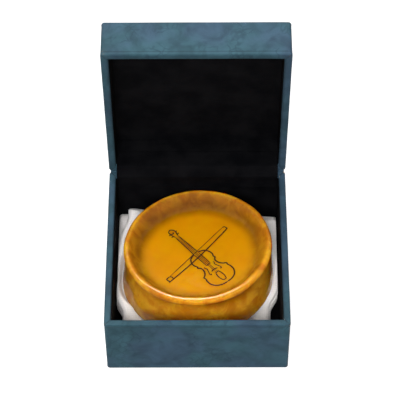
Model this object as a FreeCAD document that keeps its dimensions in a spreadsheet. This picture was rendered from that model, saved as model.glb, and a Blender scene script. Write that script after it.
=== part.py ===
import FreeCAD, Part
import math
import os
import re

import Sketcher

# A cast cake of rosin on a folded cloth, in a hinged presentation box of paper-wrapped board.
# Millimetres: X runs across the box, Y from front to back and Z up, with the origin at the middle of the
# tray's underside. The lid is drawn shut, in a frame on its hinge line, and its Placement swings it open.

DIMENSIONS = {
    "box_width": (61.0, "outside, across"),
    "box_depth": (64.0, "outside, front to back"),
    "tray_height": (26.3, "outside, to the top of the rim"),
    "lid_height": (13.4, "outside, from its rim"),
    "board": (1.8, "greyboard of the walls, floor and top"),
    "wrap": (0.15, "cover paper"),
    "wrap_corner": (1.0, "outer radius of the wrapped upright corners"),
    "turn_in": (9.0, "cover paper turned down inside the walls"),
    "turn_under": (8.0, "cover paper turned under the tray"),
    "foot": (0.15, "paper glued under the tray"),
    "foot_margin": (1.0, "bare border round the foot paper"),
    "lining": (0.25, "black lining paper"),
    "lining_drop": (1.2, "rim left blue above the lining"),
    "stay": (0.1, "paper tape that holds the corners of the boards"),
    "stay_leg": (8.0, "length of each leg of a corner stay, from the outer corner"),
    "rim_gap": (0.4, "space between the two rims when shut, where the hinge papers fold"),
    "open_angle": (86.5, "how far the lid stands open, in degrees"),
    "hinge_paper": (0.2, "thickness of the two hinge strips"),
    "glue_line": (0.05, "glue under the hinge strips"),
    "spine_lap": (8.0, "outer hinge strip on each wall"),
    "spine_width": (60.2, "outer hinge strip, across"),
    "joint_lap": (6.0, "inner hinge strip on each wall"),
    "joint_width": (55.8, "inner hinge strip, across"),
    "cloth_width": (55.0, "folded cloth, across"),
    "cloth_depth": (55.4, "folded cloth, front to back"),
    "cloth_back": (0.7, "how far the cloth lies behind the middle"),
    "cloth_round": (4.0, "radius of the folded cloth's corners"),
    "cloth_top": (12.0, "height of the cloth's top round the cake"),
    "nest_gap": (0.5, "space round the cake in the nest that it presses into the cloth"),
    "cake_right": (0.7, "how far the cake's bottom lies to the right of the middle"),
    "cake_back": (1.1, "how far the cake's bottom lies behind the middle"),
    "cake_seat": (7.8, "height of the middle of the cake's bottom"),
    "cake_lean": (5.8, "how far the cake leans back on the uneven cloth, in degrees"),
    "cake_lean_turn": (31.0, "how far the lean is turned from straight back to the left, in degrees"),
    "cake_height": (16.6, "bottom to the crest of the rim"),
    "cake_radius": (25.7, "widest, near the bottom"),
    "cake_round": (1.6, "radius of the bottom edge"),
    "shoulder_radius": (24.9, "under the waist"),
    "shoulder_rise": (11.0, "height of the shoulder above the cake's bottom"),
    "waist_radius": (24.5, "narrow groove under the lip"),
    "waist_rise": (12.2, "height of the waist above the cake's bottom"),
    "lip_radius": (25.2, "outside of the raised rim"),
    "lip_rise": (13.8, "height of the lip above the cake's bottom"),
    "rim_round": (0.95, "radius of the rim's crest"),
    "dish_depth": (5.0, "crest to the floor of the dish"),
    "dish_round": (2.5, "radius at the foot of the dish's wall"),
    "dish_slope": (58.0, "steepness of the dish's wall, in degrees"),
    "mark_line": (0.45, "width of a drawn line"),
    "mark_relief": (0.12, "thickness of the drawn lines"),
    "mark_length": (31.0, "the drawn violin, end to end"),
    "mark_front": (1.0, "how far the drawing's middle lies in front of the cake's"),
    "mark_tilt": (40.0, "lean of the violin and of the bow, in degrees"),
}

# Insets from the box's outside, and levels measured from a half's closed end.
BOARD_OUT = "wrap + stay"
BOARD_IN = "wrap + stay + board"
TURN_IN = "wrap + stay + board + wrap"
CLEAR = "wrap + stay + board + wrap + lining"
HINGE_LEVEL = "tray_height + rim_gap / 2"
TRAY_FLOOR = "foot + wrap + board + lining"
CAKE_PLACE = ("cake_right", "cake_back", "cake_seat")

doc = FreeCAD.newDocument("rosin_cake_box")
sheet = doc.addObject("Spreadsheet::Sheet", "dims")
for row, (alias, (size, meaning)) in enumerate(DIMENSIONS.items(), start=1):
    sheet.set(f"A{row}", alias)
    sheet.set(f"B{row}", str(size))
    sheet.set(f"C{row}", meaning)
    sheet.setAlias(f"B{row}", alias)
doc.recompute()
pieces = []


def cells(formula):
    """The formula with each dimension's name turned into a reference to its cell."""
    return re.sub(r"[a-z_]+", lambda word: f"dims.{word[0]}" if word[0] in DIMENSIONS else word[0], formula)


def value(formula):
    """The formula's number, from the sheet."""
    return float(sheet.evalExpression(cells(formula)))


# ---------------------------------------------------------------- bodies, sketches and features


def level_axis(turn="0"):
    """A level direction, turned from X towards Y by the angle."""
    return FreeCAD.Rotation(FreeCAD.Vector(0, 0, 1), value(turn)).multVec(FreeCAD.Vector(1, 0, 0))


def new_body(name, place=("0", "0", "0"), swing=None, turn="0"):
    """An empty body, moved to place and, where it has a swing, tipped back about a level axis."""
    body = doc.addObject("PartDesign::Body", name)
    body.Label = name
    if swing:
        body.Placement = FreeCAD.Placement(FreeCAD.Vector(), FreeCAD.Rotation(level_axis(turn), -1))
        body.setExpression("Placement.Rotation.Angle", cells(f"-({swing})"))
    for axis, formula in zip("xyz", place):
        body.setExpression(f"Placement.Base.{axis}", cells(formula))
    pieces.append(body)
    return body


def new_tool(name, *where):
    """A body that only shapes another one, so it isn't a piece."""
    return pieces.pop(pieces.index(new_body(name, *where)))


def arc_between(start, end, radius, anticlockwise):
    """The shorter arc from start to end, as an anticlockwise arc of a circle."""
    middle, chord = (start + end) / 2, end - start
    rise = math.sqrt(max(radius**2 - (chord.Length / 2) ** 2, 0))
    left = FreeCAD.Vector(-chord.y, chord.x, 0).normalize()
    centre = middle + left * (rise if anticlockwise else -rise)
    first, last = (start, end) if anticlockwise else (end, start)
    angles = [math.atan2(p.y - centre.y, p.x - centre.x) for p in (first, last)]
    return Part.ArcOfCircle(Part.Circle(centre, FreeCAD.Vector(0, 0, 1), radius), *angles)


def sketch(body, role, level, corners):
    """A closed outline on one of the body's planes. A corner is (u, v) where a straight edge leaves it, or
    (u, v, radius) or (u, v, radius, "clockwise") where an arc does."""
    drawing = body.newObject("Sketcher::SketchObject", f"{body.Name}_sketch")
    plane = next(f for f in body.Origin.OriginFeatures if f.Role == role)
    drawing.AttachmentSupport = [(plane, "")]
    drawing.MapMode = "FlatFace"
    drawing.setExpression("AttachmentOffset.Base.z", cells(level))
    spots = [FreeCAD.Vector(value(c[0]), value(c[1]), 0) for c in corners]
    ends = []
    for n, corner in enumerate(corners):
        start, end = spots[n], spots[(n + 1) % len(spots)]
        if len(corner) == 2:
            drawing.addGeometry(Part.LineSegment(start, end), False)
            ends.append((1, 2))
            continue
        anticlockwise = len(corner) == 3
        drawing.addGeometry(arc_between(start, end, value(corner[2]), anticlockwise), False)
        ends.append((1, 2) if anticlockwise else (2, 1))
        bind(drawing, Sketcher.Constraint("Radius", n, value(corner[2])), corner[2])
    for n, corner in enumerate(corners):
        following = (n + 1) % len(corners)
        drawing.addConstraint(Sketcher.Constraint("Coincident", n, ends[n][1], following, ends[following][0]))
        for kind, formula in (("DistanceX", corner[0]), ("DistanceY", corner[1])):
            bind(drawing, Sketcher.Constraint(kind, -1, 1, n, ends[n][0], value(formula)), formula)
    return drawing


def bind(drawing, constraint, formula):
    """Adds a constraint whose size follows the sheet."""
    number = drawing.addConstraint(constraint)
    drawing.setExpression(f"Constraints[{number}]", cells(formula))


def add(body, corners, low, high):
    """A pad over the outline, between two levels."""
    pad = body.newObject("PartDesign::Pad", f"{body.Name}_pad")
    pad.Profile = sketch(body, "XY_Plane", low, corners)
    pad.setExpression("Length", cells(f"({high}) - ({low})"))
    doc.recompute()


def cut(body, corners, low, high):
    """A pocket over the outline, between two levels."""
    before = body.Shape.Volume
    pocket = body.newObject("PartDesign::Pocket", f"{body.Name}_pocket")
    pocket.Profile = sketch(body, "XY_Plane", high, corners)
    pocket.setExpression("Length", cells(f"({high}) - ({low})"))
    doc.recompute()
    if not body.Shape.Volume < before:
        raise RuntimeError(f"{pocket.Name} cuts nothing")


def along_x(body, corners, width):
    """A pad of an outline in the YZ plane, half to each side of it."""
    pad = body.newObject("PartDesign::Pad", f"{body.Name}_pad")
    pad.Profile = sketch(body, "YZ_Plane", "0", corners)
    pad.Midplane = True
    pad.setExpression("Length", cells(width))


def box(x_low, x_high, y_low, y_high):
    """A plain rectangle."""
    return [(x_low, y_low), (x_high, y_low), (x_high, y_high), (x_low, y_high)]


# ---------------------------------------------------------------- the two halves of the box


class Half:
    """The tray or the lid: where its middle is, how levels run, and how its pieces are placed."""

    def __init__(self, name, height, skin, middle, place=("0", "0", "0"), swing=None):
        self.name, self.height, self.skin, self.middle = name, height, skin, middle
        self.place, self.swing = place, swing

    def body(self, piece):
        return new_body(f"{self.name}_{piece}", self.place, self.swing)

    def band(self, low, high):
        """Two levels from the closed end, as the lowest and highest Z. The lid's closed end is its top."""
        if not self.swing:
            return low, high
        top = "rim_gap / 2 + lid_height"
        return f"{top} - ({high})", f"{top} - ({low})"

    def square(self, inset):
        """The box's outline drawn in by inset, with sharp corners."""
        across, along = f"box_width / 2 - ({inset})", f"box_depth / 2 - ({inset})"
        return box(f"-({across})", across, f"{self.middle} - ({along})", f"{self.middle} + {along}")

    def rounded(self, inset):
        """The box's outline drawn in by inset, with its corners rounded."""
        across, along = f"box_width / 2 - ({inset})", f"box_depth / 2 - ({inset})"
        round_off = f"wrap_corner - ({inset})"
        straight_x, straight_y = f"box_width / 2 - wrap_corner", f"box_depth / 2 - wrap_corner"
        return [
            (f"-({straight_x})", f"{self.middle} - ({along})"),
            (straight_x, f"{self.middle} - ({along})", round_off),
            (across, f"{self.middle} - ({straight_y})"),
            (across, f"{self.middle} + {straight_y}", round_off),
            (straight_x, f"{self.middle} + {along}"),
            (f"-({straight_x})", f"{self.middle} + {along}", round_off),
            (f"-({across})", f"{self.middle} + {straight_y}"),
            (f"-({across})", f"{self.middle} - ({straight_y})", round_off),
        ]

    def end_wall(self, side):
        """The plan of the front (side -1) or back (side 1) board, with its two outer corners rounded."""
        across, straight_x = f"box_width / 2 - ({BOARD_OUT})", "box_width / 2 - wrap_corner"
        outer, inner, straight_y = (
            f"{self.middle} + {side} * (box_depth / 2 - ({inset}))"
            for inset in (BOARD_OUT, BOARD_IN, "wrap_corner")
        )
        round_off = f"wrap_corner - ({BOARD_OUT})"
        turn = () if side < 0 else ("clockwise",)
        return [
            (f"-({straight_x})", outer),
            (straight_x, outer, round_off, *turn),
            (across, straight_y),
            (across, inner),
            (f"-({across})", inner),
            (f"-({across})", straight_y, round_off, *turn),
        ]

    def side_wall(self, side):
        """The plan of the left (side -1) or right (side 1) board, between the end boards."""
        outer, inner = (f"{side} * (box_width / 2 - ({inset}))" for inset in (BOARD_OUT, BOARD_IN))
        along = f"box_depth / 2 - ({BOARD_IN})"
        low, high = (inner, outer) if side > 0 else (outer, inner)
        return box(low, high, f"{self.middle} - ({along})", f"{self.middle} + {along}")


def make_boards(half, flat_board):
    """Four walls, with the floor or top board let in between them."""
    walls = {
        "front_board": half.end_wall(-1),
        "back_board": half.end_wall(1),
        "left_board": half.side_wall(-1),
        "right_board": half.side_wall(1),
    }
    add(half.body(flat_board), half.square(BOARD_IN), *half.band(half.skin, f"{half.skin} + board"))
    for name, plan in walls.items():
        add(half.body(name), plan, *half.band(half.skin, f"{half.height} - wrap"))


def make_corner_stays(half):
    """A ring of tape round the boards, cut away except at the four corners."""
    stays = half.body("corner_stays")
    span = half.band(half.skin, f"{half.height} - wrap")
    add(stays, half.rounded("wrap"), *span)
    cut(stays, half.rounded(BOARD_OUT), *span)
    x_leg, y_leg = "box_width / 2 - stay_leg", "box_depth / 2 - stay_leg"
    y_span = (f"{half.middle} - box_depth / 2", f"{half.middle} + box_depth / 2")
    cut(stays, box(f"-({x_leg})", x_leg, *y_span), *span)
    y_legs = (f"{half.middle} - ({y_leg})", f"{half.middle} + {y_leg}")
    cut(stays, box("-box_width / 2", "box_width / 2", *y_legs), *span)


def make_wrap(half, outside):
    """Cover paper round the outside, over the rim and down inside the walls."""
    wrap = half.body("cover_paper")
    add(wrap, half.rounded("0"), *half.band(outside, half.height))
    cut(wrap, half.rounded("wrap"), *half.band(half.skin, f"{half.height} - wrap"))
    inside = half.band(f"{half.height} - turn_in", half.height)
    add(wrap, half.square(BOARD_IN), *inside)
    cut(wrap, half.square(TURN_IN), *inside)
    return wrap


def make_linings(half, flat_lining):
    """Black paper on the walls, over the turned-in cover paper, and on the floor or ceiling."""
    floor = f"{half.skin} + board"
    fold = f"{half.height} - turn_in"
    rim = f"{half.height} - lining_drop"
    walls = half.body("wall_lining")
    add(walls, half.square(BOARD_IN), *half.band(floor, fold))
    add(walls, half.square(TURN_IN), *half.band(fold, rim))
    cut(walls, half.square(CLEAR), *half.band(floor, rim))
    add(half.body(flat_lining), half.square(CLEAR), *half.band(floor, f"{floor} + lining"))


def make_tray():
    tray = Half("tray", "tray_height", "(foot + wrap)", "0")
    make_boards(tray, "floor_board")
    make_corner_stays(tray)
    wrap = make_wrap(tray, "foot")
    cut(wrap, tray.square("turn_under"), *tray.band("foot", "foot + wrap"))
    add(tray.body("foot_paper"), tray.square("foot_margin"), *tray.band("0", "foot"))
    make_linings(tray, "floor_lining")


def make_lid():
    lid = Half("lid", "lid_height", "wrap", "-box_depth / 2", ("0", "box_depth / 2", HINGE_LEVEL), "open_angle")
    make_boards(lid, "top_board")
    make_corner_stays(lid)
    make_wrap(lid, "0")
    make_linings(lid, "ceiling_lining")


# ---------------------------------------------------------------- hinge papers


def on_tray(out, up):
    """A point by its distance out from the back face and up from the hinge line."""
    return f"box_depth / 2 + {out}", f"{HINGE_LEVEL} + {up}"


def on_lid(out, up):
    """The same distances on the lid, swung open with it."""
    return (
        f"box_depth / 2 + ({out}) * cos(open_angle) + ({up}) * sin(open_angle)",
        f"{HINGE_LEVEL} - ({out}) * sin(open_angle) + ({up}) * cos(open_angle)",
    )


def make_spine_strip():
    """Cover paper across the joint, outside: down the tray's back and along the lid's, one crease."""
    near, far = "glue_line", "glue_line + hinge_paper"
    end = "rim_gap / 2 + spine_lap"
    strip = new_body("spine_strip")
    corners = [
        on_tray(near, f"(-({end}))"),
        on_tray(far, f"(-({end}))"),
        on_tray(far, f"(-({far}) * tan(open_angle / 2))"),
        on_lid(far, end),
        on_lid(near, end),
        on_tray(near, f"(-({near}) * tan(open_angle / 2))"),
    ]
    along_x(strip, corners, "spine_width")


def make_joint_lining():
    """Black paper across the joint, inside: taut between the two rims, it stops the lid."""
    near, far = f"-({CLEAR} + glue_line)", f"-({CLEAR} + glue_line + hinge_paper)"
    end, rim = "rim_gap / 2 + joint_lap", "rim_gap / 2"
    bulge = f"{rim} - hinge_paper * tan(open_angle / 4)"
    strip = new_body("joint_lining")
    corners = [
        on_tray(near, f"(-({end}))"),
        on_tray(near, f"(-({rim}))"),
        on_lid(near, rim),
        on_lid(near, end),
        on_lid(far, end),
        on_lid(far, bulge),
        on_tray(far, f"(-({bulge}))"),
        on_tray(far, f"(-({end}))"),
    ]
    along_x(strip, corners, "joint_width")


# ---------------------------------------------------------------- what the box holds


def make_cloth():
    """The folded cloth: a plain pad with rounded corners, and the leaning nest that the cake presses into it."""
    across, along, radius = "cloth_width / 2", "cloth_depth / 2", "cloth_round"
    back = "cloth_back"
    corners = [
        (f"-({across} - {radius})", f"{back} - {along}"),
        (f"{across} - {radius}", f"{back} - {along}", radius),
        (across, f"{back} - ({along} - {radius})"),
        (across, f"{back} + {along} - {radius}", radius),
        (f"{across} - {radius}", f"{back} + {along}"),
        (f"-({across} - {radius})", f"{back} + {along}", radius),
        (f"-({across})", f"{back} + {along} - {radius}"),
        (f"-({across})", f"{back} - ({along} - {radius})", radius),
    ]
    cloth = new_body("polishing_cloth")
    add(cloth, corners, TRAY_FLOOR, "cloth_top")
    nest = new_tool("cake_nest", CAKE_PLACE, "cake_lean", "cake_lean_turn")
    room = nest.newObject("PartDesign::AdditiveCylinder", "cake_nest_room")
    room.setExpression("Radius", cells("cake_radius + nest_gap"))
    room.setExpression("Height", cells("cake_height"))
    pressed = cloth.newObject("PartDesign::Boolean", "polishing_cloth_nest")
    pressed.Type = "Cut"
    pressed.addObject(nest)
    doc.recompute()


def make_cake():
    """The cast cake: rounded bottom, waist under the lip, thin rounded rim and a dish with a sloping wall."""
    floor = "cake_height - dish_depth"
    sine, cosine = "sin(dish_slope)", "cos(dish_slope)"
    crest = "lip_radius - rim_round"
    wall_top = f"({crest} - rim_round * {sine})"
    wall_top_rise = f"(cake_height - rim_round * (1 - {cosine}))"
    wall_foot_rise = f"({floor} + dish_round * (1 - {cosine}))"
    wall_foot = f"({wall_top} - ({wall_top_rise} - {wall_foot_rise}) / tan(dish_slope))"
    profile = [
        ("0", "0"),
        ("cake_radius - cake_round", "0", "cake_round"),
        ("cake_radius", "cake_round"),
        ("shoulder_radius", "shoulder_rise"),
        ("waist_radius", "waist_rise"),
        ("lip_radius", "lip_rise"),
        ("lip_radius", "cake_height - rim_round", "rim_round"),
        (crest, "cake_height", "rim_round"),
        (wall_top, wall_top_rise),
        (wall_foot, wall_foot_rise, "dish_round", "clockwise"),
        (f"{wall_foot} - dish_round * {sine}", floor),
        ("0", floor),
    ]
    cake = new_body("rosin_cake", CAKE_PLACE, "cake_lean", "cake_lean_turn")
    turned = cake.newObject("PartDesign::Revolution", "rosin_cake_revolution")
    turned.Profile = sketch(cake, "XZ_Plane", "0", profile)
    upright = next(f for f in cake.Origin.OriginFeatures if f.Role == "Z_Axis")
    turned.ReferenceAxis = (upright, [""])
    turned.Angle = 360
    doc.recompute()
    return cake


def arc_chain(points):
    """A wire of arcs: every second point is where two arcs meet, and the others lie on the arcs."""
    spots = [FreeCAD.Vector(x, y, 0) for x, y in points]
    return Part.Wire([Part.Arc(*spots[n : n + 3]).toShape() for n in range(0, len(spots) - 2, 2)])


def mirrored(points):
    """The points of a half outline from its bottom up, then of its mirror image back down."""
    return points + [(-x, y) for x, y in reversed(points[:-1])]


def line_face(start, end, width):
    """A straight line as a flat strip of the given width, with square ends."""
    p, q = FreeCAD.Vector(*start, 0), FreeCAD.Vector(*end, 0)
    side = FreeCAD.Vector(p.y - q.y, q.x - p.x, 0).normalize() * (width / 2)
    return Part.Face(Part.makePolygon([p - side, q - side, q + side, p + side, p - side]))


def arc_face(wire, width):
    """A curved line as a flat band of the given width: a ring where the line is closed."""
    band = Part.Face(wire.makeOffset2D(width / 2))
    return band.cut(Part.Face(wire.makeOffset2D(-width / 2))) if wire.isClosed() else band


def make_mark(cake):
    """A line drawing in the dish: a violin and its bow, crossed. Its points are in 26ths of its length."""
    body_half = [(0, -13), (3.3, -12.0), (4.3, -9.2), (4.0, -7.7), (3.2, -6.6), (2.4, -5.0), (3.0, -3.4)]
    body_half += [(3.4, -1.4), (2.3, 0.3), (1.2, 0.9), (0, 1.0)]
    scroll = [(0.5, 10.2), (1.3, 11.8), (0, 13.0), (-1.3, 11.8), (-0.5, 10.2)]
    neck_and_bridge = [((-0.7, -4.6), (-0.5, 10.2)), ((0.7, -4.6), (0.5, 10.2)), ((-1.1, -7.2), (1.1, -7.2))]
    stick = [(0, -13), (0.5, 0), (0, 13)]
    hair_and_frog = [((0, 12.8), (-1.3, 12.4)), ((-1.3, 12.6), (-1.3, -11.8)), ((-1.3, -11.6), (0, -12.0))]
    unit, width, tilt = value("mark_length / 26"), value("mark_line"), value("mark_tilt")

    def scaled(points):
        return [(unit * x, unit * y) for x, y in points]

    faces = {
        tilt: [arc_face(arc_chain(scaled(points)), width) for points in (mirrored(body_half), scroll)]
        + [line_face(*scaled(ends), width) for ends in neck_and_bridge],
        -tilt: [arc_face(arc_chain(scaled(stick)), width)]
        + [line_face(*scaled(ends), width) for ends in hair_and_frog],
    }
    lines = []
    for lean, drawn in faces.items():
        for face in drawn:
            face.rotate(FreeCAD.Vector(), FreeCAD.Vector(0, 0, 1), lean)
            lines.append(face.extrude(FreeCAD.Vector(0, 0, value("mark_relief"))))
    mark = doc.addObject("Part::Feature", "cake_mark")
    mark.Label = "cake_mark"
    mark.Shape = lines[0].fuse(lines[1:]).removeSplitter()
    in_dish = FreeCAD.Vector(0, -value("mark_front"), value("cake_height - dish_depth"))
    mark.Placement = cake.Placement * FreeCAD.Placement(in_dish, FreeCAD.Rotation())
    pieces.append(mark)


def export_pieces():
    """Checks the whole document, then writes one STEP file for each piece."""
    doc.recompute()
    for thing in doc.Objects:
        if {"Invalid", "Error"} & set(thing.State):
            raise RuntimeError(f"{thing.Name} failed: {thing.State}")
    os.makedirs("parts", exist_ok=True)
    for piece in pieces:
        if piece.Shape.isNull() or not piece.Shape.isValid() or not piece.Shape.Solids:
            raise RuntimeError(f"{piece.Label} has no valid solid")
        piece.Shape.exportStep(f"parts/{piece.Label}.step")
        extent = piece.Shape.BoundBox
        size = f"{extent.XLength:.2f} x {extent.YLength:.2f} x {extent.ZLength:.2f}"
        print(f"{piece.Label}: {len(piece.Shape.Solids)} solid(s), {size} mm, {piece.Shape.Volume:.1f} mm3")


make_tray()
make_lid()
make_spine_strip()
make_joint_lining()
make_cloth()
make_mark(make_cake())
export_pieces()
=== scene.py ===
import math

import bpy
import numpy as np
from mathutils import Matrix, Vector, noise


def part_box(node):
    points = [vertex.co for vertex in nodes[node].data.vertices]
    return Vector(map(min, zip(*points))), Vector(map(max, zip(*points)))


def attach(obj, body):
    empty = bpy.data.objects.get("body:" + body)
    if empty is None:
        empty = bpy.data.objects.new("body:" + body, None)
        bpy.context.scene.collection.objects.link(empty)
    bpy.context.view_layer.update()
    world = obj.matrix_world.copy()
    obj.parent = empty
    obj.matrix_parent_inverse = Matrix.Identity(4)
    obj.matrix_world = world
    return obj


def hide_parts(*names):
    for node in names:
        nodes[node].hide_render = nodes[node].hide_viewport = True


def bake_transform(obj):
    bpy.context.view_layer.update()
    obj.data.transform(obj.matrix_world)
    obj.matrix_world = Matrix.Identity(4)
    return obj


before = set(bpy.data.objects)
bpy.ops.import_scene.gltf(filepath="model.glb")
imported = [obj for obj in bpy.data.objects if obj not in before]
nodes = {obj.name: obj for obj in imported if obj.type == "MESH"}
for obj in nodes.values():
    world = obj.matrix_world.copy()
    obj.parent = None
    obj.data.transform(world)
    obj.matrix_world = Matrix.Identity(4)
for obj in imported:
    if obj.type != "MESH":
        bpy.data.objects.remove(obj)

# A cast cake of rosin on a folded cloth, in a hinged box of paper-wrapped board: the looks on the CAD frame.
# Lengths are in millimetres in the frame's axes, and mesh_piece() turns them into metres.
MM = 0.001
# Every uneven surface comes from this seed.
noise.seed_set(2)
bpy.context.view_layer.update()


def size_of(node):
    """A CAD node's lowest and highest corner in millimetres."""
    low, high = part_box(node)
    return low / MM, high / MM


HALF_WIDTH, HALF_DEPTH, TRAY_HEIGHT = size_of("tray_cover_paper")[1]
LID_HEIGHT, RIM_GAP, OPEN_ANGLE = 13.4, 0.4, 86.5
HINGE = Vector((0, HALF_DEPTH, TRAY_HEIGHT + RIM_GAP / 2))
SWING = Matrix.Translation(HINGE) @ Matrix.Rotation(math.radians(-OPEN_ANGLE), 4, "X")
PAPER, TURN_IN = 0.15, 9.0
# A wall's build in board and paper, without and with the black lining.
WALL_BUILD, LINED_BUILD = 2.2, 2.45

# ------------------------------------------------------------------------------ shapes in general


def mesh_piece(name, points, faces, material, smooth=True):
    """A new object of these points and faces, with the material on it."""
    mesh = bpy.data.meshes.new(name)
    mesh.from_pydata([Vector(p) * MM for p in points], [], faces)
    mesh.validate()
    if smooth:
        mesh.shade_smooth()
    else:
        mesh.shade_flat()
    mesh.materials.append(material)
    piece = bpy.data.objects.new(name, mesh)
    bpy.context.scene.collection.objects.link(piece)
    return piece


def store(piece, name, shares):
    """Keeps a number at each of the piece's points, which its material reads by name."""
    piece.data.attributes.new(name, "FLOAT", "POINT").data.foreach_set("value", shares)


def modify(piece, kind, **settings):
    modifier = piece.modifiers.new(kind.title(), kind)
    for key, setting in settings.items():
        setattr(modifier, key, setting)
    return modifier


def skin(rings, closed=True, cap_first=False, cap_last=False):
    """Points and faces of a surface through rings of equally many points."""
    count = len(rings[0])
    points = [p for ring in rings for p in ring]
    faces = []
    for row in range(len(rings) - 1):
        for k in range(count if closed else count - 1):
            a, b = row * count + k, row * count + (k + 1) % count
            faces.append((a, b, b + count, a + count))
    if cap_first:
        faces.append(tuple(range(count - 1, -1, -1)))
    if cap_last:
        faces.append(tuple(range((len(rings) - 1) * count, len(rings) * count)))
    return points, faces


def rough(point, grain, shift=0.0):
    """A smooth uneven vector, the same every run, that changes over about grain millimetres."""
    return noise.noise_vector(Vector(point) / grain + Vector((shift, 2 * shift, -shift)))


def smoothstep(values, low, high):
    t = np.clip((values - low) / (high - low), 0, 1)
    return t * t * (3 - 2 * t)


def bell(value, middle, width):
    """1 at the middle, falling smoothly to nothing over about width to each side."""
    return math.exp(-(((value - middle) / width) ** 2))


def held_in(values, limit, soft=0.5):
    """The values, pressed back softly where they come near limit on either side."""
    past = np.maximum(np.abs(values) - (limit - soft), 0)
    kept = np.minimum(np.abs(values), limit - soft)
    return np.sign(values) * (kept + soft * (1 - np.exp(-past / soft)))


def quarter_turn(steps):
    """Angles from nothing to a right angle."""
    return [math.radians(90 * k / steps) for k in range(steps + 1)]


def resample(line, step):
    """Points along a line of points, about step millimetres apart."""
    line = [Vector(p) for p in line]
    lengths = np.cumsum([0] + [(b - a).length for a, b in zip(line, line[1:])])
    count = max(int(lengths[-1] / step), 2)
    spots = np.linspace(0, lengths[-1], count + 1)
    return [Vector([np.interp(s, lengths, [p[axis] for p in line]) for axis in range(3)]) for s in spots]


def softened(line, passes):
    """The same line with its corners rounded, its ends kept."""
    for _ in range(passes):
        between_ends = [(a + 2 * b + c) / 4 for a, b, c in zip(line, line[1:], line[2:])]
        line = [line[0]] + between_ends + [line[-1]]
    return line


# ------------------------------------------------------------------------------ materials


class Look:
    """A material's nodes. Fixed values go straight onto the shader's sockets."""

    def __init__(self, name, **fixed):
        self.material = bpy.data.materials.new(name)
        self.material.use_nodes = True
        self.tree = self.material.node_tree
        self.shader = self.tree.nodes["Principled BSDF"]
        for key, setting in fixed.items():
            self.shader.inputs[key.replace("_", " ")].default_value = setting
        self.where = self.node("ShaderNodeTexCoord").outputs["Object"]

    def node(self, kind, links=None, **settings):
        made = self.tree.nodes.new(kind)
        for key, setting in settings.items():
            setattr(made, key, setting)
        for socket, source in (links or {}).items():
            if isinstance(source, bpy.types.NodeSocket):
                self.tree.links.new(source, made.inputs[socket])
            else:
                made.inputs[socket].default_value = source
        return made

    def clouds(self, scale, detail=3.0, distortion=0.0, where=None):
        links = {"Vector": where or self.where, "Scale": scale, "Detail": detail, "Roughness": 0.55}
        return self.node("ShaderNodeTexNoise", {**links, "Distortion": distortion}).outputs["Fac"]

    def cells(self, scale, feature, where=None):
        links = {"Vector": where or self.where, "Scale": scale}
        return self.node("ShaderNodeTexVoronoi", links, feature=feature).outputs["Distance"]

    def stretched(self, x, y, z):
        links = {0: self.where, 1: (x, y, z)}
        return self.node("ShaderNodeVectorMath", links, operation="MULTIPLY").outputs[0]

    def between(self, source, low, high, bottom=0.0, top=1.0):
        """source from low to high, turned smoothly into bottom to top."""
        links = {"Value": source, "From Min": low, "From Max": high, "To Min": bottom, "To Max": top}
        return self.node("ShaderNodeMapRange", links, interpolation_type="SMOOTHSTEP").outputs["Result"]

    def maths(self, operation, first, second):
        return self.node("ShaderNodeMath", {0: first, 1: second}, operation=operation).outputs[0]

    def times(self, first, second):
        return self.maths("MULTIPLY", first, second)

    def plus(self, first, second):
        return self.maths("ADD", first, second)

    def blend(self, share, first, second, kind="MIX"):
        links = {"Factor": share, 6: first, 7: second}
        return self.node("ShaderNodeMix", links, data_type="RGBA", blend_type=kind).outputs[2]

    def shaded(self, colour, shade):
        """The colour, made darker or lighter by the number shade."""
        grey = self.node("ShaderNodeCombineColor", {0: shade, 1: shade, 2: shade}).outputs[0]
        return self.blend(1.0, colour, grey, "MULTIPLY")

    def attribute(self, name):
        return self.node("ShaderNodeAttribute", attribute_name=name).outputs["Fac"]

    def wire(self, **sources):
        for key, source in sources.items():
            self.tree.links.new(source, self.shader.inputs[key.replace("_", " ")])
        return self

    def bump(self, height, depth, strength=1.0):
        """Relief of about depth millimetres."""
        links = {"Height": height, "Distance": depth * MM, "Strength": strength}
        return self.wire(Normal=self.node("ShaderNodeBump", links).outputs["Normal"])


def rgb(red, green, blue):
    return (red, green, blue, 1.0)


def cover_paper():
    """Embossed blue-grey paper: teal and steel patches, fine dark veins, leather grain, scuffed corners, and
    painted shade over the rim, in its mitred corners and in a line just under it.
    """
    look = Look("cover_paper", Roughness=0.6, Specular_IOR_Level=0.06)
    patch = look.between(look.clouds(55, 3, 0.3), 0.36, 0.64)
    colour = look.blend(patch, rgb(0.034, 0.064, 0.096), rgb(0.030, 0.071, 0.090))
    colour = look.shaded(colour, look.between(look.clouds(150, 6, 0.5), 0.30, 0.70, 0.76, 1.20))
    links = {"Vector": look.where, "Scale": 190, "Detail": 2}
    swirl = look.node("ShaderNodeTexNoise", links).outputs["Color"]
    links = {0: swirl, 1: (0.006, 0.006, 0.006), 2: look.where}
    bent = look.node("ShaderNodeVectorMath", links, operation="MULTIPLY_ADD").outputs[0]
    vein = look.between(look.cells(300, "DISTANCE_TO_EDGE", bent), 0.0, 0.12, 1.0, 0.0)
    vein = look.times(vein, look.between(look.clouds(110, 2), 0.50, 0.62))
    colour = look.blend(look.times(vein, 0.45), colour, rgb(0.018, 0.036, 0.052))
    # Painted shade: darker over the rim, most at its inner edge, in the mitre's groove and in a line just
    # under the rim.
    colour = look.blend(look.times(look.attribute("painted_rim_shade"), 0.75), colour, rgb(0.008, 0.014, 0.020))
    scuff = look.times(look.attribute("wear"), look.between(look.clouds(900, 4), 0.50, 0.70))
    look.wire(Base_Color=look.blend(scuff, colour, rgb(0.16, 0.095, 0.055)))
    grain = look.cells(1500, "SMOOTH_F1")
    return look.bump(look.plus(look.times(grain, 0.5), look.clouds(600, 5, 0.5)), 0.09, 0.6).material


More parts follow.
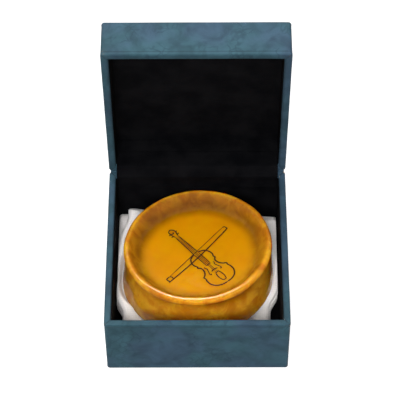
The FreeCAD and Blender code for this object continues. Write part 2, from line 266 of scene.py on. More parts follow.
def lining_paper():
    """Matt black paper with a faint nap."""
    look = Look("lining_paper", Roughness=0.9, Specular_IOR_Level=0.05)
    tone = look.between(look.clouds(130, 4), 0.3, 0.7)
    look.wire(Base_Color=look.blend(tone, rgb(0.0018, 0.0019, 0.0024), rgb(0.0042, 0.0042, 0.0048)))
    return look.bump(look.clouds(1800, 4), 0.05, 0.5).material


def greyboard():
    """Pressed grey pulp with short fibres and dark flecks."""
    look = Look("greyboard", Roughness=0.9, Specular_IOR_Level=0.2)
    fibre = look.clouds(1400, 4, 1.0, look.stretched(1.0, 0.25, 1.0))
    colour = look.blend(look.between(fibre, 0.3, 0.7), rgb(0.30, 0.285, 0.26), rgb(0.45, 0.43, 0.40))
    fleck = look.between(look.clouds(2600, 2), 0.68, 0.74)
    look.wire(Base_Color=look.blend(fleck, colour, rgb(0.10, 0.09, 0.08)))
    return look.bump(fibre, 0.06).material


def kraft_tape():
    """Brown paper tape, with upright fibres."""
    look = Look("kraft_tape", Roughness=0.75, Specular_IOR_Level=0.3)
    fibre = look.clouds(1600, 3, 0.0, look.stretched(1.0, 1.0, 0.2))
    tone = look.between(fibre, 0.3, 0.7)
    look.wire(Base_Color=look.blend(tone, rgb(0.42, 0.29, 0.17), rgb(0.56, 0.42, 0.27)))
    return look.bump(fibre, 0.03).material


def foot_paper():
    """Dark paper under the box, rubbed a little paler in places."""
    look = Look("foot_paper", Roughness=0.7, Specular_IOR_Level=0.3)
    rubbed = look.between(look.clouds(140, 5, 0.6), 0.52, 0.75)
    look.wire(Base_Color=look.blend(rubbed, rgb(0.018, 0.018, 0.020), rgb(0.050, 0.050, 0.054)))
    return look.bump(look.clouds(2200, 4), 0.04).material


def flannel():
    """Brushed off-white cotton: a soft weave that follows the sheet, with fuzz over it."""
    look = Look("flannel", Roughness=0.95, Specular_IOR_Level=0.15, Sheen_Weight=0.25, Sheen_Roughness=0.5)
    sheet_place = look.node("ShaderNodeTexCoord").outputs["UV"]
    wave = {"Vector": sheet_place, "Scale": 0.42, "Distortion": 0.8, "Detail": 1.0}
    warp, weft = (look.node("ShaderNodeTexWave", wave, bands_direction=way).outputs["Fac"] for way in "XY")
    weave = look.times(warp, weft)
    fuzz = look.clouds(1500, 5, 0.8)
    soiled = look.between(look.clouds(70, 3), 0.35, 0.7)
    colour = look.blend(soiled, rgb(0.78, 0.74, 0.72), rgb(0.70, 0.67, 0.64))
    shade = look.between(look.plus(look.times(weave, 0.4), fuzz), 0.35, 0.95, 0.88, 1.0)
    look.wire(Base_Color=look.shaded(colour, shade))
    return look.bump(look.plus(look.times(weave, 0.5), fuzz), 0.16, 0.7).material


def rosin():
    """Amber resin, translucent: even and bright in the dish, deeper and clouded in the rim and sides, with
    painted shade on the dish's wall and a painted shadow under the lip.
    """
    look = Look(
        "rosin", IOR=1.53, Specular_Tint=rgb(1.0, 0.95, 0.88), Specular_IOR_Level=0.65,
        Subsurface_Weight=1.0, Subsurface_Scale=MM, Subsurface_Radius=(9.0, 4.5, 0.5),
    )
    thick = look.attribute("thick")
    tone = look.between(look.clouds(70, 3), 0.35, 0.7)
    even = look.blend(tone, rgb(0.55, 0.236, 0.0006), rgb(0.50, 0.203, 0.0005))
    cloudy = look.between(look.clouds(185, 5, 0.6), 0.34, 0.66)
    deep = look.blend(cloudy, rgb(0.58, 0.285, 0.014), rgb(0.40, 0.142, 0.006))
    red = look.between(look.clouds(330, 3, 0.8), 0.60, 0.72)
    deep = look.blend(look.times(red, 0.6), deep, rgb(0.48, 0.125, 0.006))
    # Painted shade on the dish's inner wall: a darker copy of the rim's colour, darkest at the back.
    painted_wall_shade = look.blend(cloudy, rgb(0.19, 0.060, 0.0003), rgb(0.12, 0.034, 0.0003))
    deep = look.blend(look.attribute("painted_wall_shade"), deep, painted_wall_shade)
    # Painted shadow under the lip, strongest towards the right front.
    painted_lip_shadow = look.times(look.attribute("painted_lip_shadow"), look.between(look.clouds(110, 3), 0.30, 0.60, 0.50, 0.95))
    deep = look.blend(painted_lip_shadow, deep, rgb(0.19, 0.056, 0.001))
    gloss = look.between(look.clouds(420, 4), 0.35, 0.75, 0.15, 0.26)
    look.wire(Base_Color=look.blend(thick, even, deep), Roughness=gloss)
    return look.bump(look.times(look.clouds(240, 4), thick), 0.10, 0.35).material


def ink():
    """Dark brown line on the rosin, a little uneven."""
    look = Look("mark_ink", Roughness=0.5, Specular_IOR_Level=0.12)
    tone = look.between(look.clouds(900, 3), 0.4, 0.7)
    look.wire(Base_Color=look.blend(tone, rgb(0.034, 0.012, 0.002), rgb(0.080, 0.030, 0.005)))
    return look.bump(look.clouds(1800, 3), 0.03, 0.5).material


PAPER_LOOK, LINING_LOOK, CLOTH_LOOK, ROSIN_LOOK = cover_paper(), lining_paper(), flannel(), rosin()
NODE_LOOKS = {"board": greyboard(), "stays": kraft_tape(), "foot_paper": foot_paper(), "lining": LINING_LOOK}
for name, node in nodes.items():
    for ending, look in NODE_LOOKS.items():
        if name.endswith(ending):
            node.data.materials.clear()
            node.data.materials.append(look)

# ------------------------------------------------------------------------------ wrapped halves

# The rim's edges are rounded, and the doubled paper at the rim stands proud of the wall below it.
RIM_SOFT, RIM_PROUD = 0.40, 0.07
# The mitred fold at a rim's corner: one side lies a little over the other, with a groove between them.
LAP_LIFT, LAP_REACH, GROOVE_DEPTH = 0.08, 2.5, 0.07
# Radii of the upright corners, outside the wall and inside it.
UPRIGHT_ROUND, INNER_ROUND = 1.0, 0.18


def outline(inset, corner, middle, arc=8, side=46):
    """A rounded rectangle inside the box's outline, with its points crowded towards the corners."""
    across, along = HALF_WIDTH - inset - corner, HALF_DEPTH - inset - corner
    turns = [(1, -1), (1, 1), (-1, 1), (-1, -1)]

    def on_corner(n, angle):
        x, y = turns[n % len(turns)]
        return x * across + corner * math.cos(angle), middle + y * along + corner * math.sin(angle)

    ring = []
    for n in range(len(turns)):
        angles = [math.radians(90 * (n - 1) + 90 * k / arc) for k in range(arc + 1)]
        ring += [on_corner(n, angle) for angle in angles]
        start, end = ring[-1], on_corner(n + 1, angles[-1])
        for k in range(1, side):
            t = (1 - math.cos(math.pi * k / side)) / 2
            ring.append((start[0] + t * (end[0] - start[0]), start[1] + t * (end[1] - start[1])))
    return ring


def rounded_foot(level, radius, insets):
    """Inset and level across the closed end and round its edge."""
    across = [(inset, level) for inset in insets]
    edge = [(radius * (1 - math.sin(a)), level + radius * (1 - math.cos(a))) for a in quarter_turn(5)]
    return across + edge


def wall_profile(height, start):
    """Inset and level of the cover paper from the closed end up the wall, over the rim and down inside."""
    painted_wall_share = np.linspace(start[-1][1], height - 2.2, 16)[1:]
    near_rim = np.linspace(height - 2.0, height - RIM_SOFT, 12)[:-1]
    turn = quarter_turn(6)
    profile = list(start)
    for level in np.append(painted_wall_share, near_rim):
        profile.append((RIM_PROUD * (1 - smoothstep(level, height - 1.7, height - 0.8)), level))
    flat_end = WALL_BUILD - RIM_SOFT
    profile += [(RIM_SOFT * (1 - math.cos(a)), height - RIM_SOFT * (1 - math.sin(a))) for a in turn]
    profile += [(inset, height) for inset in np.linspace(RIM_SOFT, flat_end, 5)[1:-1]]
    profile += [(flat_end + RIM_SOFT * math.sin(a), height - RIM_SOFT * (1 - math.cos(a))) for a in turn]
    profile += [(WALL_BUILD, level) for level in np.linspace(height - RIM_SOFT, height - TURN_IN, 8)[1:]]
    return profile


def mitre_lift(aside):
    """How far the rim's paper is raised, aside being the distance from the mitre line."""
    lap = LAP_LIFT * math.tanh(aside / 0.15) * math.exp(-abs(aside) / LAP_REACH)
    return lap - GROOVE_DEPTH * bell(aside, 0, 0.2)


def painted_rim_shade_at(inset, level, height, aside):
    """How much painted shade the paper gets: in the mitre's groove and over the rim, most at its inner edge,
    and in a line at the paper's edge just under it.
    """
    if level > height - 0.35:
        return max(bell(aside, 0, 0.22), 0.3 + 0.35 * smoothstep(inset, 1.3, 2.2))
    return 0.45 * bell(level, height - 1.25, 0.22) if inset < 0.5 else 0.0


def corner_wear(inset, level, height, from_corner):
    """How scuffed the paper is: along the upright corners, most of all at their two ends."""
    if inset >= 1.2:
        return 0.0
    at_ends = max(math.exp(-abs(level - height) / 2.0), math.exp(-abs(level - 0.4) / 1.4))
    return math.exp(-max(from_corner - 0.4, 0) / 0.5) * (0.25 + 0.75 * at_ends)


def cover(name, height, start, middle, place, body, node):
    """The cover paper of one half: a wrapped shell with soft rim edges and mitred corners on the rim."""
    rings, wear, painted_rim_shade = [], [], []
    for inset, level in wall_profile(height, start):
        ring = []
        for x, y in outline(inset, max(UPRIGHT_ROUND - inset, INNER_ROUND), middle):
            beside_x, beside_y = HALF_WIDTH - abs(x), HALF_DEPTH - abs(y - middle)
            aside = (beside_x - beside_y) / math.sqrt(2)
            on_rim = level > height - 0.5 and inset > 0.05
            point = Vector((x, y, level + (mitre_lift(aside) if on_rim else 0.0)))
            uneven = rough(point, 9.0, 3.1) * 0.03 + rough(point, 2.6, 8.4) * 0.02
            if inset > 0 and level < 1:
                uneven.z = 0.0
            ring.append(place @ (point + uneven))
            # Painted shade along the rim, in its mitres and in the line under it, kept for the material.
            painted_rim_shade.append(painted_rim_shade_at(inset, level, height, aside))
            wear.append(corner_wear(inset, level, height, beside_x + beside_y))
        rings.append(ring)
    starts_at_middle = start[0][0] > HALF_WIDTH / 2
    points, faces = skin(rings, cap_first=starts_at_middle)
    piece = mesh_piece(name, points, faces, PAPER_LOOK)
    store(piece, "wear", wear)
    store(piece, "painted_rim_shade", painted_rim_shade)
    modify(piece, "SOLIDIFY", thickness=PAPER * 0.85 * MM, offset=-1, use_quality_normals=True)
    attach(piece, body)
    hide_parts(node)


UPSIDE_DOWN = Matrix.Translation((0, 0, RIM_GAP / 2 + LID_HEIGHT)) @ Matrix.Scale(-1, 4, (0, 0, 1))
TRAY_START = rounded_foot(0.15, 0.4, (8, 6, 4, 2.4, 1.2))
LID_START = rounded_foot(0.0, 0.5, (29, 25, 20, 15, 10, 6, 3.5, 2, 1.2))
cover("tray_cover", TRAY_HEIGHT, TRAY_START, 0.0, Matrix.Identity(4), "tray", "tray_cover_paper")
cover("lid_cover", LID_HEIGHT, LID_START, -HALF_DEPTH, SWING @ UPSIDE_DOWN, "lid", "lid_cover_paper")

# ------------------------------------------------------------------------------ hinge papers

GLUE, HINGE_PAPER, SPINE_LAP, JOINT_LAP = 0.05, 0.2, 8.0, 6.0


def on_tray(out, up):
    """A point by its distance out from the back face and up from the hinge line."""
    return Vector((0, HINGE.y + out, HINGE.z + up))


def on_lid(out, up):
    """The same distances on the lid, swung open with it."""
    return SWING @ Vector((0, out, up))


def strip(name, path, material, node):
    """A strip of paper as wide as its node, laid along path from its start to its end."""
    half_width = size_of(node)[1].x
    columns = np.linspace(-half_width, half_width, 64)
    line = softened(resample(path, 0.16), 3)
    rings = [[Vector((x, p.y, p.z)) + rough((x, p.y, p.z), 6.0, 5.7) * 0.03 for x in columns] for p in line]
    points, faces = skin(rings, closed=False)
    piece = mesh_piece(name, points, faces, material)
    solid = modify(piece, "SOLIDIFY", thickness=HINGE_PAPER * 0.9 * MM, offset=0)
    bpy.context.view_layer.update()
    thick = bpy.data.meshes.new_from_object(piece.evaluated_get(bpy.context.evaluated_depsgraph_get()))
    piece.modifiers.remove(solid)
    piece.data = thick
    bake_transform(piece)
    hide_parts(node)


outside = GLUE + HINGE_PAPER / 2
crease = outside * math.tan(math.radians(OPEN_ANGLE / 2))
spine_path = [
    on_tray(outside, -RIM_GAP / 2 - SPINE_LAP),
    on_tray(outside, -crease),
    on_lid(outside, RIM_GAP / 2 + SPINE_LAP),
]
strip("spine", spine_path, PAPER_LOOK, "spine_strip")
inside = -(LINED_BUILD + GLUE + HINGE_PAPER / 2)
joint_path = [
    on_tray(inside, -RIM_GAP / 2 - JOINT_LAP),
    on_tray(inside, -RIM_GAP / 2),
    on_lid(inside, RIM_GAP / 2),
    on_lid(inside, RIM_GAP / 2 + JOINT_LAP),
]
strip("hinge_lining", joint_path, LINING_LOOK, "joint_lining")

# ------------------------------------------------------------------------------ the cake's shape and place

CAKE_HEIGHT, CAKE_RADIUS, BOTTOM_ROUND = 16.6, 26.0, 1.0
SHOULDER_RADIUS, SHOULDER_RISE, WAIST_RADIUS, WAIST_RISE = 24.85, 11.0, 24.15, 13.2
LIP_RADIUS, LIP_RISE, RIM_ROUND = 25.2, 14.6, 1.25
DISH_DEPTH, DISH_ROUND, DISH_SLOPE = 5.0, 2.5, 58
CREST_RADIUS, FLOOR_RISE = LIP_RADIUS - RIM_ROUND, CAKE_HEIGHT - DISH_DEPTH
# The cake's lower part sits a little further forward and left than a true turned shape.
BOTTOM_SHIFT, SHIFT_RISE = Vector((-0.8, -1.2, 0)), 12.0
LEAN_ANGLE, LEAN_TURN = 5.8, 31
LEAN_AXIS = Matrix.Rotation(math.radians(LEAN_TURN), 4, "Z") @ Vector((1, 0, 0))
LEAN = Matrix.Rotation(math.radians(-LEAN_ANGLE), 4, LEAN_AXIS)
cake_low, cake_high = size_of("rosin_cake")
CAKE_MIDDLE = Matrix.Translation((cake_low + cake_high) / 2)
CAKE_PLACE = CAKE_MIDDLE @ LEAN @ Matrix.Translation((0, 0, -CAKE_HEIGHT / 2))


def arc_points(centre, radius, first, last, steps=12):
    angles = np.radians(np.linspace(first, last, steps))
    return [(centre[0] + radius * math.cos(a), 0, centre[1] + radius * math.sin(a)) for a in angles]


def cake_profile():
    """The dish's flat radius, and the cake's side from the middle of its bottom to the middle of its dish."""
    sine, cosine = math.sin(math.radians(DISH_SLOPE)), math.cos(math.radians(DISH_SLOPE))
    wall_rise = DISH_DEPTH - (RIM_ROUND + DISH_ROUND) * (1 - cosine)
    flat = CREST_RADIUS - RIM_ROUND * sine - wall_rise * cosine / sine - DISH_ROUND * sine
    line = [(0, 0, 0), (12, 0, 0)]
    line += arc_points((CAKE_RADIUS - BOTTOM_ROUND, BOTTOM_ROUND), BOTTOM_ROUND, -90, 2)
    line += [(SHOULDER_RADIUS, 0, SHOULDER_RISE), (WAIST_RADIUS, 0, WAIST_RISE), (LIP_RADIUS, 0, LIP_RISE)]
    line += arc_points((CREST_RADIUS, CAKE_HEIGHT - RIM_ROUND), RIM_ROUND, 0, 90 + DISH_SLOPE)
    line += arc_points((flat, FLOOR_RISE + DISH_ROUND), DISH_ROUND, DISH_SLOPE - 90, -90)
    line += [(8, 0, FLOOR_RISE), (0, 0, FLOOR_RISE)]
    return flat, softened(resample(line, 0.33), 2)


DISH_FLAT, cake_line = cake_profile()

# ------------------------------------------------------------------------------ folded cloth

LAYERS, LAYER, CLOTH_THICK = 8, 0.83, 0.68
SHEET_WIDTH, SHEET_LENGTH = 109.0, 216.0
# The sheet is folded in half at its middle, then at this far across it, then at this far along it.
FOLD_ACROSS, FOLD_ALONG, FOLD_SKEW = 53.4, 52.1, 0.4
# Heights of the cloth's margin round the cake against its CAD top.
MARGIN_DROP, LEFT_BACK_RISE, RIGHT_DROP, FRONT_DROP, MARGIN_WOBBLE = 0.6, 1.5, 0.8, 3.0, 1.0
# How far its corners and edges are pulled in from the tray's walls.
FRONT_RIGHT_PULL, FRONT_LEFT_PULL, FLAP_PULL, ALL_PULL, EDGE_WOBBLE = 2.9, 2.3, 2.9, 0.3, 0.28
BACK_PULL, BACK_SKEW, PAD_LEFT = 0.5, 0.045, -27
cloth_low, cloth_high = size_of("polishing_cloth")


def crowded(length, folds, coarse=1.7, fine=0.3, reach=6.5):
    """Places along a side of the sheet, close together near its folds."""
    spots = [0.0]
    while spots[-1] < length:
        near = min(abs(spots[-1] - f) for f in folds)
        spots.append(spots[-1] + (fine if near < reach else coarse))
    return np.array(spots) * (length / spots[-1])


def folded_over(points, pivot, lean, roof):
    """What lies beyond a line through pivot, bent up over roof and back on top of the rest."""
    c, s = math.cos(lean), math.sin(lean)
    x, y, z = points[:, 0] - pivot[0], points[:, 1] - pivot[1], points[:, 2]
    past, along = x * c + y * s, -x * s + y * c
    bend = np.maximum(roof - z, 1e-6)
    used = math.pi * (0.5 * bend + 0.5 * roof / 2)
    turn = np.clip(past / used, 0, 1) * math.pi
    moved = np.where(past > 0, bend * np.sin(turn) - np.maximum(past - used, 0), past)
    height = np.where(past > 0, roof - bend * np.cos(turn), z)
    return np.stack([moved * c - along * s + pivot[0], moved * s + along * c + pivot[1], height], axis=1)


def folded_sheet(flat):
    """The flat sheet's points after its three folds, laid in the tray."""
    cloth = np.column_stack([flat, np.zeros(len(flat))])
    cloth = folded_over(cloth, (0, SHEET_LENGTH / 2), math.radians(90), LAYER / 2)
    cloth = folded_over(cloth, (FOLD_ACROSS, 0), 0.0, LAYER * 1.5)
    cloth = folded_over(cloth, (FOLD_ACROSS / 2, FOLD_ALONG), math.radians(90 - FOLD_SKEW), LAYER * 3.5)
    cloth[:, 0] = cloth_high.x - 0.1 - cloth[:, 0]
    cloth[:, 1] = cloth_high.y - cloth[:, 1]
    cloth[:, 2] += cloth_low.z + LAYER / 2
    return cloth


def pressed_top(cloth):
    """The height of the pad's top over each point: the cake's seat, rising to an uneven margin round it."""
    in_cake = np.array([CAKE_PLACE.inverted() @ Vector((x, y, cloth_high.z)) for x, y, _ in cloth])
    from_cake = np.hypot(in_cake[:, 0] - BOTTOM_SHIFT.x, in_cake[:, 1] - BOTTOM_SHIFT.y)
    seat = cloth_high.z - in_cake[:, 2] / (LEAN @ Vector((0, 0, 1))).z - 0.12
    wobble = np.array([rough((x, y, 0), 13.0, 1.7).z for x, y, _ in cloth])
    x, y = cloth[:, 0], cloth[:, 1]
    margin = cloth_high.z - MARGIN_DROP + MARGIN_WOBBLE * wobble
    margin += LEFT_BACK_RISE * smoothstep(-x, 16, 26) * smoothstep(y, -14, 4)
    margin -= RIGHT_DROP * smoothstep(x, 14, 24) + FRONT_DROP * smoothstep(-y, 2, 22)
    return seat + (margin - seat) * smoothstep(from_cake, CAKE_RADIUS - 0.4, CAKE_RADIUS + 1.6)


def pull_in(cloth, share_up):
    """Draws the pad's corners and edges in, and holds them clear of the tray's walls."""
    x, y = cloth[:, 0], cloth[:, 1]
    uneven = np.array([rough(point, 7.0, 6.2) for point in cloth])
    cloth[:, :2] += uneven[:, :2] * EDGE_WOBBLE
    front_right, front_left = smoothstep(-y, 6, 13), smoothstep(-y, 9, 15)
    x -= FRONT_RIGHT_PULL * front_right * smoothstep(x, 10, 26)
    x += FRONT_LEFT_PULL * front_left * smoothstep(-x, 14, 26)
    y -= (BACK_PULL + BACK_SKEW * (x - PAD_LEFT)) * smoothstep(y, 0, 20)
    flap = smoothstep(share_up, 0.44, 0.56)
    x += FLAP_PULL * flap * smoothstep(y, 13, 24) * smoothstep(-x, 14, 26)
    x -= ALL_PULL
    cloth[:, 0] = held_in(x, HALF_WIDTH - LINED_BUILD - 0.4)
    cloth[:, 1] = held_in(y, HALF_DEPTH - LINED_BUILD - 0.5)


def make_cloth():
    across = crowded(SHEET_WIDTH, [FOLD_ACROSS + 1])
    along = crowded(SHEET_LENGTH, [SHEET_LENGTH / 2, FOLD_ALONG + 3, SHEET_LENGTH - FOLD_ALONG - 3])
    flat = np.stack(np.meshgrid(across, along), axis=-1).reshape(-1, 2)
    cloth = folded_sheet(flat)
    top = pressed_top(cloth)
    share_up = (cloth[:, 2] - cloth_low.z) / LAYER / LAYERS
    cloth[:, 2] = cloth_low.z + (top - cloth_low.z) * share_up
    pull_in(cloth, share_up)
    points, faces = skin(cloth.reshape(len(along), len(across), 3), closed=False)
    piece = mesh_piece("folded_cloth", points, faces, CLOTH_LOOK)
    corner_point = np.zeros(len(piece.data.loops), int)
    piece.data.loops.foreach_get("vertex_index", corner_point)
    piece.data.uv_layers.new(name="sheet").data.foreach_set("uv", flat[corner_point].ravel())
    pressed = piece.vertex_groups.new(name="pressed")
    for point, weight in enumerate(np.clip((top - cloth_low.z) / LAYER / LAYERS, 0, 1).tolist()):
        pressed.add([point], weight, "REPLACE")
    modify(piece, "SOLIDIFY", thickness=CLOTH_THICK * MM, offset=0, vertex_group="pressed")
    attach(piece, "cloth")
    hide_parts("polishing_cloth")


make_cloth()

# ------------------------------------------------------------------------------ cake

SPOKES = 240
# The painted shadow under the lip is darkest at this height, and fades faster above it than below.
DARKEST_RISE, FADE_ABOVE, FADE_BELOW = 13.1, 1.0, 2.3


def towards(angle, direction, share):
    """1 at the direction in degrees, falling smoothly by twice the share at the opposite side."""
    return 1 - share + share * math.cos(angle - math.radians(direction))


def cake_point(spot, angle, inside):
    """A point of the cake's surface, with slight lumps that are fainter still on the dish's floor."""
    point = Vector((spot.x * math.cos(angle), spot.x * math.sin(angle), spot.z))
    if not inside:
        point += BOTTOM_SHIFT * max(1 - spot.z / SHIFT_RISE, 0.0)
    lumps = rough(point, 7.0, 2.2) * 0.10 + rough(point, 2.2, 4.4) * 0.03
    if inside and spot.x < DISH_FLAT:
        lumps *= 0.15
    if spot.z < 0.4:
        lumps.z = 0
    return CAKE_PLACE @ (point + lumps)


def make_cake():
    rings, thick, painted_wall_shade, painted_lip_shadow = [], [], [], []
    angles = [2 * math.pi * k / SPOKES for k in range(SPOKES)]
    for spot in cake_line[1:-1]:
        inside = spot.z > FLOOR_RISE - 0.1 and spot.x < CREST_RADIUS + 0.01
        rings.append([cake_point(spot, a, inside) for a in angles])
        if inside:
            # Painted shade on the dish's wall: fading out towards the crest, heavier at the wall's foot,
            # darkest at the back.
            painted_wall_share = 1.0 - smoothstep(spot.x, LIP_RADIUS - 1.9, CREST_RADIUS)
            painted_wall_share *= 1.0 - 0.35 * smoothstep(spot.x, DISH_FLAT + 1.8, DISH_FLAT + 4.4)
            thick += [smoothstep(spot.x, DISH_FLAT - 3.0, DISH_FLAT + 2.8)] * SPOKES
            painted_wall_shade += [painted_wall_share * towards(a, 105, 0.40) for a in angles]
            painted_lip_shadow += [0.0] * SPOKES
        else:
            # Painted shadow under the lip, strongest on the right and a little towards the front.
            lip_shadow_share = bell(spot.z, DARKEST_RISE, FADE_ABOVE if spot.z > DARKEST_RISE else FADE_BELOW)
            thick += [1.0] * SPOKES
            painted_wall_shade += [0.0] * SPOKES
            painted_lip_shadow += [lip_shadow_share * towards(a, -22, 0.38) for a in angles]
    points, faces = skin(rings, cap_first=True, cap_last=True)
    piece = mesh_piece("amber_cake", points, faces, ROSIN_LOOK)
    for name, shares in (("thick", thick), ("painted_wall_shade", painted_wall_shade), ("painted_lip_shadow", painted_lip_shadow)):
        store(piece, name, shares)
    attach(piece, "cake")
    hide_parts("rosin_cake")


make_cake()

# ------------------------------------------------------------------------------ drawing in the dish

# Each line is its points, in 26ths of the violin's length, and its width in millimetres.
UNIT = 31.0 / 26
MARK_CENTRE, MARK_TILT, LINE_RELIEF = Vector((0, -1.0, FLOOR_RISE)), 40, 0.10


def mirrored(points):
    return [(-x, y) for x, y in points]


def both_sides(*lines):
    """The lines, and each of them mirrored across the violin's middle."""
    return [line for points, width in lines for line in ((points, width), (mirrored(points), width))]


BODY_SIDE = [
    (0, -13), (1.8, -12.8), (3.3, -12.0), (4.2, -10.6), (4.3, -9.2), (4.05, -8.1), (4.15, -7.5), (3.3, -6.9),
    (2.7, -6.0), (2.45, -5.0), (2.6, -4.2), (3.15, -3.6), (3.0, -3.1), (3.35, -2.2), (3.3, -1.1), (2.6, 0.2),
    (1.5, 0.85), (0.75, 1.0),
]
F_HOLE = [(1.5, -4.6), (1.75, -4.9), (1.45, -5.5), (1.75, -6.6), (2.1, -7.6), (1.8, -8.0), (1.6, -7.7)]
NECK_SIDE = [(-0.75, 1.0), (-0.62, 5), (-0.5, 9.8)]
FINGERBOARD_SIDE = [(-0.7, -4.6), (-0.72, -2), (-0.75, 1.0)]
FINGERBOARD_END = [(-0.7, -4.6), (0, -4.45), (0.7, -4.6)]
SCROLL = [
    (0.5, 9.8), (0.85, 11.0), (0.9, 12.0), (0.1, 12.9), (-0.8, 12.4), (-0.75, 11.5), (-0.1, 11.2),
    (0.25, 11.7),
]
PEGBOX = [(-0.5, 9.8), (-0.75, 10.6), (-0.8, 11.3)]
BRIDGE = [(-1.1, -7.2), (0, -6.95), (1.1, -7.2)]
TAILPIECE = [
    (-0.6, -8.4), (-0.85, -10.2), (-0.55, -11.6), (0, -11.8), (0.55, -11.6), (0.85, -10.2), (0.6, -8.4),
    (0, -8.3), (-0.6, -8.4),
]
STRING = [(-0.25, -8.3), (-0.22, 0), (-0.18, 9.6)]
PEGS = [
    [(0.55, 10.2), (1.4, 10.45)], [(-0.6, 10.2), (-1.4, 10.45)],
    [(0.75, 11.2), (1.55, 11.5)], [(-0.75, 11.2), (-1.55, 11.5)],
]
STICK = [
    (0, -13), (0.35, -6), (0.5, 0), (0.3, 7), (0, 12.4), (-0.35, 12.95), (-1.1, 12.9), (-1.3, 12.3),
]
HAIR = [(-1.3, 12.3), (-1.32, 0), (-1.3, -11.2)]
FROG_END = [(-1.3, -11.0), (-1.35, -12.2), (-0.6, -12.35), (0.02, -12.2)]
FROG_TOP = [(-1.3, -11.0), (-0.7, -10.7), (0.05, -10.9)]
VIOLIN = both_sides((BODY_SIDE, 0.46), (F_HOLE, 0.28), (NECK_SIDE, 0.36), (FINGERBOARD_SIDE, 0.3))
VIOLIN += [(FINGERBOARD_END, 0.3), (SCROLL, 0.4), (PEGBOX, 0.36), (BRIDGE, 0.4), (TAILPIECE, 0.32)]
VIOLIN += both_sides((STRING, 0.16)) + [(peg, 0.4) for peg in PEGS]
BOW = [(STICK, 0.42), (HAIR, 0.26), (FROG_END, 0.4), (FROG_TOP, 0.36)]


def through(points, steps=10):
    """A smooth line through the points (Catmull-Rom)."""
    p = [2 * points[0] - points[1]] + points + [2 * points[-1] - points[-2]]
    line = []
    for a, b, c, d in zip(p, p[1:], p[2:], p[3:]):
        for t in (k / steps for k in range(steps)):
            second, third = 2 * a - 5 * b + 4 * c - d, 3 * b - a - 3 * c + d
            line.append(0.5 * (2 * b + (c - a) * t + second * t**2 + third * t**3))
    return line + [p[-2]]


def straight(start, end, steps=6):
    return [start.lerp(end, t / steps) for t in range(steps + 1)]


def stroke(line, width):
    """Points and faces of a drawn line: a low rounded ridge that tapers at its ends."""
    rings = []
    last = len(line) - 1
    for n, spot in enumerate(line):
        ahead = (line[min(n + 1, last)] - line[max(n - 1, 0)]).normalized()
        side = Vector((-ahead.y, ahead.x))
        taper = min(1.0, 0.35 + min(n, last - n) / 4)
        half = width * 0.66 * taper * (1 + 0.15 * rough((spot.x, spot.y, 0), 1.5).x)
        ring = []
        for a in map(math.radians, (0, 45, 90, 135, 180)):
            flat = spot + side * half * math.cos(a)
            ring.append(Vector((flat.x, flat.y, LINE_RELIEF * (math.sin(a) - 0.3))))
        ring.append(Vector((spot.x, spot.y, -0.3 * LINE_RELIEF)))
        rings.append(ring)
    return skin(rings, cap_first=True, cap_last=True)


def make_drawing():
    """The violin and its bow, crossed, as ridges on the floor of the dish."""
    points, faces = [], []
    for drawing, tilt in ((VIOLIN, MARK_TILT), (BOW, -MARK_TILT)):
        turn = Matrix.Rotation(math.radians(tilt), 4, "Z")
        for spots, width in drawing:
            spots = [Vector((x * UNIT, y * UNIT)) for x, y in spots]
            ridge, ridge_faces = stroke(through(spots) if len(spots) > 2 else straight(*spots), width)
            faces += [tuple(k + len(points) for k in face) for face in ridge_faces]
            points += [CAKE_PLACE @ (turn @ p + MARK_CENTRE) for p in ridge]
    piece = mesh_piece("violin_drawing", points, faces, ink())
    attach(piece, "cake")
    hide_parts("cake_mark")


make_drawing()

# ------------------------------------------------------------------------------ floor and light

TARGET = Vector((0, 0, 25))
FLOOR_REACH = 3000


def make_floor():
    glow = {"Emission_Color": rgb(1, 1, 1), "Emission_Strength": 0.88}
    look = Look("floor", Roughness=0.6, Specular_IOR_Level=0.1, **glow)
    tone = look.between(look.clouds(3, 2), 0.3, 0.7)
    look.wire(Base_Color=look.blend(tone, rgb(0.22, 0.22, 0.22), rgb(0.23, 0.23, 0.23)))
    edges = [[(-FLOOR_REACH, y, 0), (FLOOR_REACH, y, 0)] for y in (-FLOOR_REACH, FLOOR_REACH)]
    floor = mesh_piece("floor", *skin(edges, closed=False), look.material, smooth=False)
    floor.visible_diffuse = False


def make_sky():
    """A dim, slightly cool studio, brighter overhead."""
    world = bpy.data.worlds.new("studio")
    bpy.context.scene.world = world
    world.use_nodes = True
    tree = world.node_tree
    sky = tree.nodes["Background"]
    sky.inputs["Color"].default_value = rgb(0.90, 0.94, 1.0)
    direction = tree.nodes.new("ShaderNodeTexCoord").outputs["Generated"]
    parts = tree.nodes.new("ShaderNodeSeparateXYZ")
    tree.links.new(direction, parts.inputs[0])
    tone = tree.nodes.new("ShaderNodeMapRange")
    tree.links.new(parts.outputs["Z"], tone.inputs["Value"])
    for key, setting in {"From Min": 0.1, "From Max": 1.0, "To Min": 0.16, "To Max": 0.28}.items():
        tone.inputs[key].default_value = setting
    tree.links.new(tone.outputs["Result"], sky.inputs["Strength"])


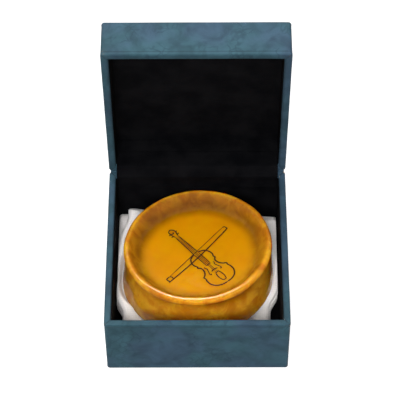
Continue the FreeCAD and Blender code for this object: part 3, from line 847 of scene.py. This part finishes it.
def softbox(name, place, size, power, in_gloss=True, in_diffuse=True):
    """A square area light turned towards the box, in millimetres and watts."""
    data = bpy.data.lights.new(name, "AREA")
    data.shape, data.size, data.energy = "SQUARE", size * MM, power
    lamp = bpy.data.objects.new(name, data)
    bpy.context.scene.collection.objects.link(lamp)
    lamp.location = Vector(place) * MM
    lamp.rotation_euler = (TARGET - Vector(place)).to_track_quat("-Z", "Y").to_euler()
    lamp.visible_glossy, lamp.visible_diffuse = in_gloss, in_diffuse


make_floor()
make_sky()
softbox("key_behind", (-240, 420, 860), 360, 3.2)
softbox("gleam", (-80, 420, 900), 460, 7.2, in_diffuse=False)
softbox("overhead", (-170, -80, 980), 1100, 6.0, in_gloss=False)
softbox("left", (-700, -60, 170), 500, 1.3, in_gloss=False)
softbox("right", (700, -60, 170), 500, 1.3, in_gloss=False)
softbox("back", (-100, 760, 240), 500, 1.3, in_gloss=False)
softbox("front", (-60, -640, 710), 240, 10.6, in_gloss=False)

# ------------------------------------------------------------------------------ camera

# A long lens in front of the box and above it, looking down into the tray.
CAMERA_PLACE, FOCAL_LENGTH, SENSOR = Vector((2.43, -347.61, 504.45)), 158.06, 36
PITCH, YAW, ROLL = (math.radians(a) for a in (52.495, -0.233, -0.331))


def make_camera():
    forward = Vector((math.sin(YAW) * math.cos(PITCH), math.cos(YAW) * math.cos(PITCH), -math.sin(PITCH)))
    level_right = Vector((math.cos(YAW), -math.sin(YAW), 0))
    level_up = level_right.cross(forward)
    right = math.cos(ROLL) * level_right + math.sin(ROLL) * level_up
    up = -math.sin(ROLL) * level_right + math.cos(ROLL) * level_up
    lens = bpy.data.cameras.new("camera")
    lens.sensor_width, lens.lens, lens.clip_start, lens.clip_end = SENSOR, FOCAL_LENGTH, 0.01, 20
    camera = bpy.data.objects.new("camera", lens)
    bpy.context.scene.collection.objects.link(camera)
    aim = Matrix((right, up, -forward)).transposed().to_4x4()
    camera.matrix_world = Matrix.Translation(CAMERA_PLACE * MM) @ aim
    bpy.context.scene.camera = camera


make_camera()
bpy.context.scene.view_settings.view_transform = "Standard"
